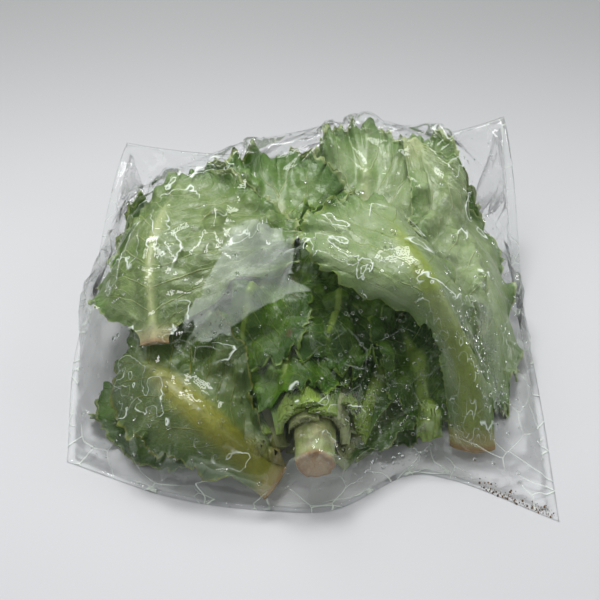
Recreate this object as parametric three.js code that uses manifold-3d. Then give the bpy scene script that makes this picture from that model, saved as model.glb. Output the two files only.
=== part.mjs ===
// A head of green leaf lettuce lying on its side in the clear perforated bag that it is sold in.
// Millimetres, +Z up. The origin is on the table under the middle of the bag, and the cut stem faces -Y.
//
// The pieces lie on each other in the order in which they were laid: the bag's lower sheet, the outer leaves, the
// stem, the inner leaves, the covering leaves and the bag's upper sheet. Every leaf is one sheet of its own shape
// that is lifted wherever something under it is higher, so that no two pieces touch and each rests on the last.
import * as THREE from "three";
import Module from "manifold-3d";

// ---- Driving dimensions ----
const HEAD = { width: 246, length: 238, height: 100 }; // the lettuce, as it lies
const GAP = 0.4; // air left between two pieces that lie on each other

const STEM = { radius: 11, noseRadius: 7, length: 58, rise: 7, sides: 14 };
const STEM_AT = { x: 6, inset: 2 }; // inset: from the front of the head to the cut

const LEAF = {
  blade: 1, // thickness of the blade
  stalk: 8, // half width of the leaf stalk, where a leaf doesn't name its own
  stalkDepth: 0.5, // how thick a stalk is as a share of its half width
  ribShare: 0.22, // half width of the midrib as a share of the blade's, where the blade is wide
  widest: 0.64, // how far along the leaf it is widest
  widens: [0.06, 0.64], // from where to where along it the blade widens, where a leaf doesn't name its own
  ripple: 3, // how far the rippled margin goes up and down
  ripples: 2.5, // along each margin
  steps: 11, // rows of faces along a leaf
  across: 6, // faces across a leaf
};

const BAG = {
  sideRoom: 17, // from the lettuce to the bag's outline at either side
  frontRoom: 17,
  backRoom: 42,
  film: 0.7,
  seal: 7, // width of the sealed rim
  headroom: 3, // air between the highest leaves and the film
  settle: 12, // how far the lower sheet bridges from the seal to the table
  steps: { u: 18, v: 20 }, // faces across and along the upper sheet
};
const VENT = { radius: 4, sides: 14, depth: 30 };

const BAG_SIZE = { width: HEAD.width + 2 * BAG.sideRoom, length: HEAD.length + BAG.frontRoom + BAG.backRoom };
const HEAD_AT = { x: 0, y: (BAG.frontRoom - BAG.backRoom) / 2 }; // from the middle of the bag

// The bag's four sides as shares of half its width and half its length, and how far its back corners stand up.
const BAG_SIDES = {
  front: [[-0.94, -0.74], [-0.5, -0.92], [-0.12, -0.98], [0.12, -0.97], [0.46, -0.86], [0.62, -0.88], [0.97, -1]],
  right: [[0.97, -1], [1, -0.4], [1, 0.3], [0.97, 0.84]],
  back: [[-0.88, 0.9], [-0.3, 0.97], [0.3, 1], [0.97, 0.84]],
  left: [[-0.94, -0.74], [-1, -0.2], [-0.96, 0.4], [-0.88, 0.9]],
};
const BAG_STANDS = { backRight: 58, backLeft: 30, back: 10 };
// Where the film is punched, as shares of half the head's width and length.
const VENTS = [[-0.57, -0.36], [0.12, 0.1], [0.76, -0.04], [-0.28, 0.56], [0.48, 0.6], [-0.76, 0.22]];

// ---- The leaves ----
// path: the midrib from base to tip as shares of half the head's width, half its length and its height.
// left, right: half widths of the blade in mm, looking from base to tip. cup: how far each edge stands above
// the midrib, in mm. wave: how far along its first ripple the margin starts. stalk: half width of the leaf's
// stalk, in mm, widens: from where to where it widens, and leftwards: the way to its left over the table, where
// they aren't like the others'. Leaves are laid in this order.
const OUTER_LEAVES = [
  { name: "outer_leaf_back", path: [[0, -0.8, 0], [0, 0, 0.02], [-0.05, 0.42, 0.14], [-0.1, 0.76, 0.4]], left: 62, right: 62, cup: [10, 10], wave: 0 },
  { name: "outer_leaf_back_right", path: [[0.12, -0.8, 0], [0.38, -0.2, 0.04], [0.62, 0.36, 0.22], [0.74, 0.8, 0.46]], left: 52, right: 44, cup: [8, 14], wave: 0.3 },
  { name: "outer_leaf_back_left", path: [[-0.1, -0.8, 0], [-0.4, -0.2, 0.04], [-0.62, 0.24, 0.2], [-0.74, 0.6, 0.42]], left: 44, right: 50, cup: [14, 8], wave: 0.6 },
  { name: "low_leaf_left", path: [[-0.12, -0.86, 0], [-0.5, -0.7, 0.05], [-0.94, -0.44, 0.08]], left: 30, right: 40, cup: [-4, 6], wave: 0.2 },
  { name: "low_leaf_right", path: [[0.22, -0.8, 0], [0.6, -0.5, 0.06], [0.96, -0.1, 0.12]], left: 40, right: 32, cup: [8, -2], wave: 0.8 },
  { name: "low_leaf_front", path: [[0.16, -0.86, 0.02], [0.36, -0.64, 0.12], [0.56, -0.32, 0.2]], left: 28, right: 26, cup: [6, 4], wave: 0.5 },
];
const INNER_LEAVES = [
  { name: "tall_leaf_far_right", path: [[0.2, -0.78, 0.18], [0.42, 0.04, 0.42], [0.6, 0.5, 0.62], [0.66, 0.84, 0.78]], left: 34, right: 32, cup: [4, 6], wave: 0.5 },
  { name: "tall_leaf_right", path: [[0.16, -0.84, 0.16], [0.26, 0, 0.46], [0.34, 0.5, 0.66], [0.36, 0.9, 0.82]], left: 40, right: 36, cup: [6, 4], wave: 0.1 },
  { name: "tall_leaf_left", path: [[-0.12, -0.86, 0.14], [-0.3, -0.04, 0.42], [-0.46, 0.3, 0.6], [-0.54, 0.58, 0.72]], left: 44, right: 44, cup: [2, 6], wave: 0.4 },
  { name: "tall_leaf_middle", path: [[0.02, -0.86, 0.2], [-0.02, 0, 0.5], [-0.1, 0.36, 0.66], [-0.14, 0.7, 0.76]], left: 46, right: 44, cup: [4, 4], wave: 0.7 },
  { name: "small_leaf_right", path: [[0.24, -0.8, 0.14], [0.5, -0.28, 0.42], [0.76, 0.2, 0.58]], left: 38, right: 32, cup: [4, 2], wave: 0.9 },
  { name: "small_leaf_left", path: [[-0.18, -0.84, 0.18], [-0.46, -0.34, 0.42], [-0.74, 0.06, 0.56]], left: 34, right: 40, cup: [2, 4], wave: 0.35 },
  { name: "heart_leaf_right", path: [[0.1, -0.84, 0.26], [0.14, -0.08, 0.46], [0.16, 0.34, 0.66]], left: 34, right: 34, cup: [6, 6], wave: 0.55 },
  { name: "heart_leaf_left", path: [[-0.04, -0.84, 0.26], [-0.2, -0.12, 0.5], [-0.3, 0.26, 0.7]], left: 32, right: 34, cup: [6, 6], wave: 0.15 },
  { name: "heart_leaf_middle", path: [[0.04, -0.82, 0.28], [-0.02, -0.22, 0.52], [-0.06, 0.1, 0.72]], left: 28, right: 28, cup: [6, 6], wave: 0.75 },
  { name: "front_leaf_middle", path: [[0.02, -0.2, 0.32], [-0.04, -0.46, 0.38], [-0.1, -0.74, 0.26]], left: 32, right: 32, cup: [-4, -4], wave: 0.45, stalk: 2, widens: [0, 0.3] },
  { name: "front_leaf_right", path: [[0.2, -0.1, 0.4], [0.17, -0.32, 0.5], [0.1, -0.57, 0.42]], left: 28, right: 28, cup: [-4, -8], wave: 0.25, stalk: 2, widens: [0, 0.3] },
  { name: "front_leaf_left", path: [[-0.12, -0.04, 0.44], [-0.22, -0.28, 0.54], [-0.3, -0.56, 0.42]], left: 32, right: 32, cup: [-8, -4], wave: 0.65, stalk: 2, widens: [0, 0.3] },
];
const COVER_LEAVES = [
  { name: "inner_leaf_right", path: [[0.6, -0.76, 0.08], [0.55, -0.54, 0.3], [0.46, -0.26, 0.46]], left: 24, right: 26, cup: [-6, 4], wave: 0.5 },
  { name: "side_leaf_right", path: [[0.58, 0.78, 0.44], [0.84, 0.34, 0.52], [0.94, -0.14, 0.36], [0.9, -0.62, 0.1]], left: 18, right: 38, cup: [-24, 4], wave: 0, stalk: 3, widens: [-0.1, 0.4] },
  { name: "side_leaf_left", path: [[-0.08, -0.99, 0.05], [-0.44, -0.8, 0.36], [-0.82, -0.43, 0.44]], left: 26, right: 46, cup: [-22, 2], wave: 0.8, stalk: 12 },
  { name: "cover_leaf_left", path: [[-0.66, -0.5, 0.52], [-0.71, -0.05, 0.72], [-0.6, 0.54, 0.74]], left: 34, right: 84, cup: [-44, 2], wave: 0.3, widens: [0.02, 0.34] },
  { name: "cover_leaf_right", path: [[0.8, -0.78, 0.04], [0.74, -0.61, 0.5], [0.56, -0.38, 0.88], [0.43, -0.02, 0.9], [0.38, 0.24, 0.86]], left: 60, right: 32, cup: [-2, -26], wave: 0.6, stalk: 13, widens: [0.43, 0.62], leftwards: [-1, 0.1] },
];

const COLOUR = { outer: "#4f7434", inner: "#5f8c34", cover: "#9caf7c", stem: "#c9bf8c", film: "#e9eef0" };

// ---- What has been laid so far, as heights over the table ----
const CELL = 1.5;
const PILE = { nx: Math.ceil((BAG_SIZE.width * 1.2) / CELL), ny: Math.ceil((BAG_SIZE.length * 1.2) / CELL) };
const pile = new Float32Array(PILE.nx * PILE.ny).fill(BAG.film);
const roof = new Float32Array(PILE.nx * PILE.ny).fill(Infinity); // the lowest of the leaves over each place
const cellX = (x) => x / CELL + PILE.nx / 2;
const cellY = (y) => y / CELL + PILE.ny / 2;

// Calls visit(cell index, height of the triangle's plane there) for each cell that the triangle covers or touches.
function overTriangle(a, b, c, visit) {
  const area = (b[0] - a[0]) * (c[1] - a[1]) - (c[0] - a[0]) * (b[1] - a[1]);
  if (Math.abs(area) < 1e-6) return;
  const margin = CELL * 0.75;
  const lows = [0, 1].map((k) => Math.min(a[k], b[k], c[k]) - margin);
  const highs = [0, 1].map((k) => Math.max(a[k], b[k], c[k]) + margin);
  const reach = [
    [b, c],
    [c, a],
    [a, b],
  ].map(([p, q]) => (margin * Math.hypot(p[0] - q[0], p[1] - q[1])) / Math.abs(area));
  for (let j = Math.floor(cellY(lows[1])); j <= Math.ceil(cellY(highs[1])); j++)
    for (let i = Math.floor(cellX(lows[0])); i <= Math.ceil(cellX(highs[0])); i++) {
      if (i < 0 || j < 0 || i >= PILE.nx || j >= PILE.ny) continue;
      const x = (i + 0.5 - PILE.nx / 2) * CELL;
      const y = (j + 0.5 - PILE.ny / 2) * CELL;
      const wa = ((b[0] - x) * (c[1] - y) - (c[0] - x) * (b[1] - y)) / area;
      const wb = ((c[0] - x) * (a[1] - y) - (a[0] - x) * (c[1] - y)) / area;
      const wc = 1 - wa - wb;
      if (wa < -reach[0] || wb < -reach[1] || wc < -reach[2]) continue;
      visit(j * PILE.nx + i, wa * a[2] + wb * b[2] + wc * c[2]);
    }
}

function steepness(a, b, c) {
  const n = new THREE.Vector3(b[0] - a[0], b[1] - a[1], b[2] - a[2]).cross(
    new THREE.Vector3(c[0] - a[0], c[1] - a[1], c[2] - a[2]),
  );
  return Math.hypot(n.x, n.y) / Math.max(Math.abs(n.z), 1e-6);
}

// Lays a surface on the pile: the pile is at least as high as it from now on, and the roof at most.
function layDown(points, faces) {
  for (const face of faces) {
    const [a, b, c] = face.map((i) => points[i]);
    const rise = Math.min(steepness(a, b, c) * CELL, CELL * 4);
    const top = Math.max(a[2], b[2], c[2]);
    const bottom = Math.min(a[2], b[2], c[2]);
    overTriangle(a, b, c, (cell, z) => {
      pile[cell] = Math.max(pile[cell], Math.min(z + rise, top));
      roof[cell] = Math.min(roof[cell], Math.max(z - rise, bottom));
    });
  }
}

// The lowest height that each point of a surface may have, so that none of its faces meets the pile.
function floorUnder(points, faces) {
  const lowest = points.map(() => 0);
  for (const face of faces) {
    let most = 0;
    overTriangle(...face.map((i) => points[i]), (cell) => {
      most = Math.max(most, pile[cell]);
    });
    for (const i of face) lowest[i] = Math.max(lowest[i], most + GAP);
  }
  return lowest;
}

// The greatest height that each point of a surface may have to stay under the leaves.
function roofOver(points, faces) {
  const highest = points.map(() => Infinity);
  for (const face of faces) {
    let least = Infinity;
    overTriangle(...face.map((i) => points[i]), (cell) => {
      least = Math.min(least, roof[cell]);
    });
    for (const i of face) highest[i] = Math.min(highest[i], least - GAP);
  }
  return highest;
}

// ---- Grids of points ----
const gridFaces = (nu, nv) => {
  const faces = [];
  for (let i = 0; i < nu; i++)
    for (let j = 0; j < nv; j++) {
      const a = i * (nv + 1) + j;
      const b = a + nv + 1;
      faces.push([a, b, b + 1], [a, b + 1, a + 1]);
    }
  return faces;
};

// The points round a grid, in order.
const gridRim = (nu, nv) => {
  const rim = [];
  for (let i = 0; i < nu; i++) rim.push(i * (nv + 1));
  for (let j = 0; j < nv; j++) rim.push(nu * (nv + 1) + j);
  for (let i = nu; i > 0; i--) rim.push(i * (nv + 1) + nv);
  for (let j = nv; j > 0; j--) rim.push(j);
  return rim;
};

// Evens out the heights of a grid without letting any point sink below its floor.
function relax(heights, floors, nu, nv, rounds, fixed = () => false) {
  let z = [...heights];
  for (let n = 0; n < rounds; n++) {
    z = z.map((h, k) => {
      const i = Math.floor(k / (nv + 1));
      const j = k % (nv + 1);
      if (fixed(i, j)) return h;
      const near = [];
      if (i > 0) near.push(z[k - nv - 1]);
      if (i < nu) near.push(z[k + nv + 1]);
      if (j > 0) near.push(z[k - 1]);
      if (j < nv) near.push(z[k + 1]);
      const even = near.reduce((a, b) => a + b, 0) / near.length;
      return Math.max((h + even) / 2, floors[k]);
    });
  }
  return z;
}

// A closed geometry from two sheets of the same points that are joined round their rim.
function closedSheet(lower, upper, faces, rim) {
  const position = [];
  const put = (...corners) => corners.forEach((p) => position.push(p[0], p[1], p[2]));
  for (const [a, b, c] of faces) {
    put(upper[a], upper[b], upper[c]);
    put(lower[a], lower[c], lower[b]);
  }
  rim.forEach((a, k) => {
    const b = rim[(k + 1) % rim.length];
    put(lower[a], lower[b], upper[b]);
    put(lower[a], upper[b], upper[a]);
  });
  return new THREE.BufferGeometry().setAttribute("position", new THREE.Float32BufferAttribute(position, 3));
}

// ---- Leaves ----
const smooth = (t) => {
  const s = THREE.MathUtils.clamp(t, 0, 1);
  return s * s * (3 - 2 * s);
};

// Half width at a share t of a leaf's length, for a blade of half width `most` on a stalk of half width `stalk`.
function halfWidth(t, most, stalk, [from, to]) {
  if (t < LEAF.widest) return stalk + (most - stalk) * smooth((t - from) / (to - from));
  return most * Math.sqrt(1 - ((t - LEAF.widest) / (1 - LEAF.widest)) ** 2);
}

const inHead = ([x, y, z]) => new THREE.Vector3((x * HEAD.width) / 2, (y * HEAD.length) / 2, z * HEAD.height);

// A leaf's own shape before it is laid: a grid of points from its base to its tip and how thick it is at each.
function leafShape({ path, left, right, cup, wave, stalk = LEAF.stalk, widens = LEAF.widens, leftwards }) {
  const midrib = new THREE.CatmullRomCurve3(path.map(inHead));
  const nu = LEAF.steps;
  const nv = LEAF.across;
  const points = [];
  const thickness = [];
  for (let i = 0; i <= nu; i++) {
    const t = (0.985 * i) / nu;
    const at = midrib.getPointAt(t);
    const along = midrib.getTangentAt(t).setZ(0).normalize();
    // A leaf that is folded over doesn't spread square to its midrib, but the way that it names.
    if (leftwards) along.set(leftwards[1], -leftwards[0], 0).normalize();
    for (let j = 0; j <= nv; j++) {
      const v = (2 * j) / nv - 1;
      const [most, lift] = v < 0 ? [right, cup[1]] : [left, cup[0]];
      const reach = v * halfWidth(t, most, stalk, widens);
      const ripple = Math.sin(2 * Math.PI * (wave + LEAF.ripples * t + (v < 0 ? 0.4 : 0)));
      const rise = (lift * v * v + LEAF.ripple * ripple * Math.abs(v ** 3)) * smooth(t / LEAF.widest);
      points.push([at.x - along.y * reach, at.y + along.x * reach, at.z + rise]);
      const rib = Math.exp(-((reach / (stalk + LEAF.ribShare * halfWidth(t, most, stalk, widens) * t)) ** 2) * 1.4);
      thickness.push(LEAF.blade + (LEAF.stalkDepth * stalk - LEAF.blade) * rib * (1 - 0.85 * t));
    }
  }
  return { points, thickness };
}

// Spreads the leaves' shapes so that together they are exactly as wide and long as the head.
function spread(shapes) {
  const size = [HEAD.width, HEAD.length];
  const at = [HEAD_AT.x, HEAD_AT.y];
  const all = shapes.flatMap((shape) => shape.points);
  for (const k of [0, 1]) {
    const low = Math.min(...all.map((p) => p[k]));
    const high = Math.max(...all.map((p) => p[k]));
    for (const p of all) p[k] = ((p[k] - low) / (high - low) - 0.5) * size[k] + at[k];
  }
}

function layLeaf(name, { points, thickness }, colour) {
  const nu = LEAF.steps;
  const nv = LEAF.across;
  const faces = gridFaces(nu, nv);
  const needed = floorUnder(points, faces).map((floor, k) => Math.max(floor - points[k][2], 0));
  const lift = relax(needed, needed, nu, nv, 10);
  const lower = points.map((p, k) => [p[0], p[1], p[2] + lift[k]]);
  const steep = lower.map(() => 0);
  for (const face of faces) {
    const slope = steepness(...face.map((i) => lower[i]));
    for (const i of face) steep[i] = Math.max(steep[i], slope);
  }
  const upper = lower.map((p, k) => [p[0], p[1], p[2] + thickness[k] * Math.min(Math.hypot(1, steep[k]), 2.4)]);
  layDown(lower, faces);
  layDown(upper, faces);
  const geometry = closedSheet(lower, upper, faces, gridRim(nu, nv));
  const mesh = new THREE.Mesh(geometry, new THREE.MeshStandardMaterial({ color: colour, roughness: 0.55 }));
  mesh.name = name;
  return mesh;
}

// ---- The stem ----
// A short round stub, cut square in front and tapering into the heart, that lies on the leaves under it.
function makeStem() {
  const profile = [
    [0, 0],
    [STEM.radius * 0.94, 0],
    [STEM.radius, 1.6],
    [STEM.radius * 0.97, STEM.length * 0.4],
    [STEM.noseRadius, STEM.length * 0.85],
    [STEM.noseRadius * 0.5, STEM.length],
    [0, STEM.length],
  ].map(([r, y]) => new THREE.Vector2(r, y));
  const geometry = new THREE.LatheGeometry(profile, STEM.sides);
  geometry.rotateX(Math.atan2(STEM.rise, STEM.length));
  geometry.translate(STEM_AT.x, HEAD_AT.y - HEAD.length / 2 + STEM_AT.inset, STEM.radius);
  const solid = solidOf(geometry);
  const made = solid.getMesh();
  const points = [];
  for (let i = 0; i < made.numVert; i++) points.push([...made.vertProperties.subarray(i * 3, i * 3 + 3)]);
  const faces = [];
  for (let i = 0; i < made.triVerts.length; i += 3) faces.push([...made.triVerts.subarray(i, i + 3)]);
  const floors = floorUnder(points, faces);
  const lift = Math.max(...points.map((p, i) => (p[2] < STEM.radius + STEM.rise ? floors[i] - p[2] : -STEM.radius)));
  points.forEach((p) => {
    p[2] += lift;
  });
  layDown(points, faces);
  const mesh = new THREE.Mesh(
    geometryOf(solid.translate([0, 0, lift])),
    new THREE.MeshStandardMaterial({ color: COLOUR.stem, roughness: 0.6 }),
  );
  mesh.name = "stem";
  return mesh;
}

// ---- Solids for cutting ----
const wasm = await Module();
wasm.setup();

function solidOf(geometry) {
  const source = geometry.index ? geometry.toNonIndexed() : geometry;
  const at = source.getAttribute("position");
  const seen = new Map();
  const vertices = [];
  const triangles = [];
  for (let i = 0; i < at.count; i++) {
    const p = [at.getX(i), at.getY(i), at.getZ(i)];
    const key = p.map((x) => Math.round(x * 1e4)).join(" ");
    if (!seen.has(key)) {
      seen.set(key, vertices.length / 3);
      vertices.push(...p);
    }
    triangles.push(seen.get(key));
  }
  const kept = [];
  for (let i = 0; i < triangles.length; i += 3) {
    const [a, b, c] = triangles.slice(i, i + 3);
    if (a !== b && b !== c && c !== a) kept.push(a, b, c);
  }
  return new wasm.Manifold(
    new wasm.Mesh({ numProp: 3, vertProperties: new Float32Array(vertices), triVerts: new Uint32Array(kept) }),
  );
}

function geometryOf(solid) {
  const mesh = solid.getMesh();
  return new THREE.BufferGeometry()
    .setAttribute("position", new THREE.BufferAttribute(new Float32Array(mesh.vertProperties), 3))
    .setIndex(new THREE.BufferAttribute(new Uint32Array(mesh.triVerts), 1));
}

// ---- The bag ----
const inBag = ([x, y]) => new THREE.Vector3((x * BAG_SIZE.width) / 2, (y * BAG_SIZE.length) / 2, 0);
const sides = Object.fromEntries(
  Object.entries(BAG_SIDES).map(([side, points]) => [side, new THREE.CatmullRomCurve3(points.map(inBag))]),
);

// Where the bag's sheet is over the table at shares u across it and v along it, between its four curved sides.
function overTable(u, v) {
  const [front, back] = [sides.front.getPointAt(u), sides.back.getPointAt(u)];
  const [left, right] = [sides.left.getPointAt(v), sides.right.getPointAt(v)];
  const [frontLeft, frontRight] = [sides.front.getPointAt(0), sides.front.getPointAt(1)];
  const [backLeft, backRight] = [sides.back.getPointAt(0), sides.back.getPointAt(1)];
  return ["x", "y"].map(
    (k) =>
      (1 - v) * front[k] +
      v * back[k] +
      (1 - u) * left[k] +
      u * right[k] -
      ((1 - u) * (1 - v) * frontLeft[k] +
        u * (1 - v) * frontRight[k] +
        u * v * backRight[k] +
        (1 - u) * v * backLeft[k]),
  );
}

// How high the seal stands over the table: it lies on it in front, and the back corners stand up.
const sealHeight = (u, v) =>
  smooth((v - 0.5) / 0.5) * (BAG_STANDS.backRight * u ** 3 + BAG_STANDS.backLeft * (1 - u) ** 3 + BAG_STANDS.back);

// Shares along one way of the sheet, with a first and last step as wide as the seal.
function sealedSteps(count, length) {
  const rim = BAG.seal / length;
  return Array.from({ length: count + 1 }, (_, i) => {
    if (i === 0) return 0;
    if (i === count) return 1;
    return rim + ((1 - 2 * rim) * (i - 1)) / (count - 2);
  });
}

// The bag's sheet seen from above, stretched to exactly its width and length, and the height of its seal.
function sheetPoints() {
  const us = sealedSteps(BAG.steps.u, BAG_SIZE.width);
  const vs = sealedSteps(BAG.steps.v, BAG_SIZE.length);
  const plan = us.flatMap((u) => vs.map((v) => overTable(u, v)));
  const size = [BAG_SIZE.width, BAG_SIZE.length];
  const low = [0, 1].map((k) => Math.min(...plan.map((p) => p[k])));
  const high = [0, 1].map((k) => Math.max(...plan.map((p) => p[k])));
  return {
    plan: plan.map((p) => p.map((x, k) => ((x - low[k]) / (high[k] - low[k]) - 0.5) * size[k])),
    seal: us.flatMap((u) => vs.map((v) => sealHeight(u, v))),
  };
}

function makeBag() {
  const { u: nu, v: nv } = BAG.steps;
  const { plan, seal } = sheetPoints();
  const faces = gridFaces(nu, nv);
  const flat = plan.map((p) => [...p, 0]);
  const isRim = plan.map((_, k) => {
    const [i, j] = [Math.floor(k / (nv + 1)), k % (nv + 1)];
    return i === 0 || j === 0 || i === nu || j === nv;
  });
  const onRim = (i, j) => isRim[i * (nv + 1) + j];
  // The lower sheet lies on the table, and comes up to the seal only beyond the leaves.
  const ceiling = roofOver(flat, faces).map((z) => Math.max(z - BAG.film, 0));
  let low = seal.map((z, k) => (isRim[k] ? z : 0));
  for (let n = 0; n < BAG.settle; n++)
    low = relax(low, plan.map(() => 0), nu, nv, 1, onRim).map((z, k) => {
      if (isRim[k]) return z;
      return z < BAG.film ? 0 : Math.min(z, ceiling[k]);
    });
  const floors = floorUnder(flat, faces).map((z, k) =>
    isRim[k] ? low[k] + 2 * BAG.film : Math.max(z + BAG.headroom + BAG.film, low[k] + 4 * BAG.film),
  );
  const high = relax(floors, floors, nu, nv, 400, onRim);
  const at = (heights) => plan.map((p, k) => [...p, heights[k]]);
  const outer = solidOf(closedSheet(at(low), at(high), faces, gridRim(nu, nv)));
  const within = (points) => points.filter((_, k) => !isRim[k]);
  const hollow = solidOf(
    closedSheet(
      within(at(low.map((z) => z + BAG.film))),
      within(at(high.map((z) => z - BAG.film))),
      gridFaces(nu - 2, nv - 2),
      gridRim(nu - 2, nv - 2),
    ),
  );
  const punch = new THREE.CylinderGeometry(VENT.radius, VENT.radius, VENT.depth, VENT.sides).rotateX(Math.PI / 2);
  let bag = outer.subtract(hollow);
  for (const [shareX, shareY] of VENTS) {
    const x = HEAD_AT.x + (shareX * HEAD.width) / 2;
    const y = HEAD_AT.y + (shareY * HEAD.length) / 2;
    let near = 0;
    plan.forEach((p, k) => {
      if (Math.hypot(p[0] - x, p[1] - y) < Math.hypot(plan[near][0] - x, plan[near][1] - y)) near = k;
    });
    bag = bag.subtract(solidOf(punch.clone().translate(x, y, high[near])));
  }
  const film = new THREE.MeshStandardMaterial({ color: COLOUR.film, roughness: 0.1, transparent: true, opacity: 0.3 });
  const mesh = new THREE.Mesh(geometryOf(bag), film);
  mesh.name = "bag";
  return mesh;
}

// ---- Assembly, in the order in which the pieces lie on each other ----
const shapes = new Map([...OUTER_LEAVES, ...INNER_LEAVES, ...COVER_LEAVES].map((leaf) => [leaf.name, leafShape(leaf)]));
spread([...shapes.values()]);

const lettuce = new THREE.Group();
const lay = (leaves, colour) => leaves.forEach(({ name }) => lettuce.add(layLeaf(name, shapes.get(name), colour)));
lay(OUTER_LEAVES, COLOUR.outer);
lettuce.add(makeStem());
lay(INNER_LEAVES, COLOUR.inner);
lay(COVER_LEAVES, COLOUR.cover);

const baggedHead = new THREE.Group();
baggedHead.add(lettuce, makeBag());

export default baggedHead;
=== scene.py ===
"""A head of green leaf lettuce in its clear perforated bag, on a pale table, in soft light from above."""
import math

import bpy
import numpy as np
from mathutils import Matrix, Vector


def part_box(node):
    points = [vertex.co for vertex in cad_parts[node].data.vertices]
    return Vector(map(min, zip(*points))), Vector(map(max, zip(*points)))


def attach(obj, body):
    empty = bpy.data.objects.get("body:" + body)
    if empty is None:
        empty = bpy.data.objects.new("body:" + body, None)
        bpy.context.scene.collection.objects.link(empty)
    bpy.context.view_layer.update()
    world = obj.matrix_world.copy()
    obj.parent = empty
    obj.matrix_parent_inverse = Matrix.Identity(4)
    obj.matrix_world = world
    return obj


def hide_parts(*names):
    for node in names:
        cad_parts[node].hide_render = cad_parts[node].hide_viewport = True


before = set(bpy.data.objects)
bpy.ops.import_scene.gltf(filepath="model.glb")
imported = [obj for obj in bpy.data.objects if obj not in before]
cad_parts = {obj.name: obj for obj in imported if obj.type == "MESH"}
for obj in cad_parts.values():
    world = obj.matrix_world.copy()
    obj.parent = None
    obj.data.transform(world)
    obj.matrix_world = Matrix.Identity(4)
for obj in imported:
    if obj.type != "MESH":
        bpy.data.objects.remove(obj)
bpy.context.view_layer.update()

MM = 0.001

# ---------------------------------------------------------------- sizes, in millimetres unless said otherwise
HEAD = dict(width=246.0, length=238.0, height=100.0)
HEAD_AT = (0.0, -12.5)  # from the middle of the bag
BLADE = 0.5  # a leaf's thickness between its veins
GAP = 0.35  # air between leaves that lie on each other
WIDEST = 0.64  # how far along a leaf it is widest
RIB_SHARE = 0.22  # of the blade's half width, added to the midrib's towards the tip
FILM = 0.16  # thickness of the film, thicker than real film so that it can be built
ROWS, COLUMNS = 132, 100  # steps along and across each leaf
FIT = 0.35  # how far a leaf is moved in plan towards the place it holds
CELL = 1.5  # the heights of what has been laid are kept for squares of this size
TABLE_REACH = 3.0  # from its middle to its rim, in metres
TABLE = 0.45  # the table covers the part of the lower sheet that lies flat

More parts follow.
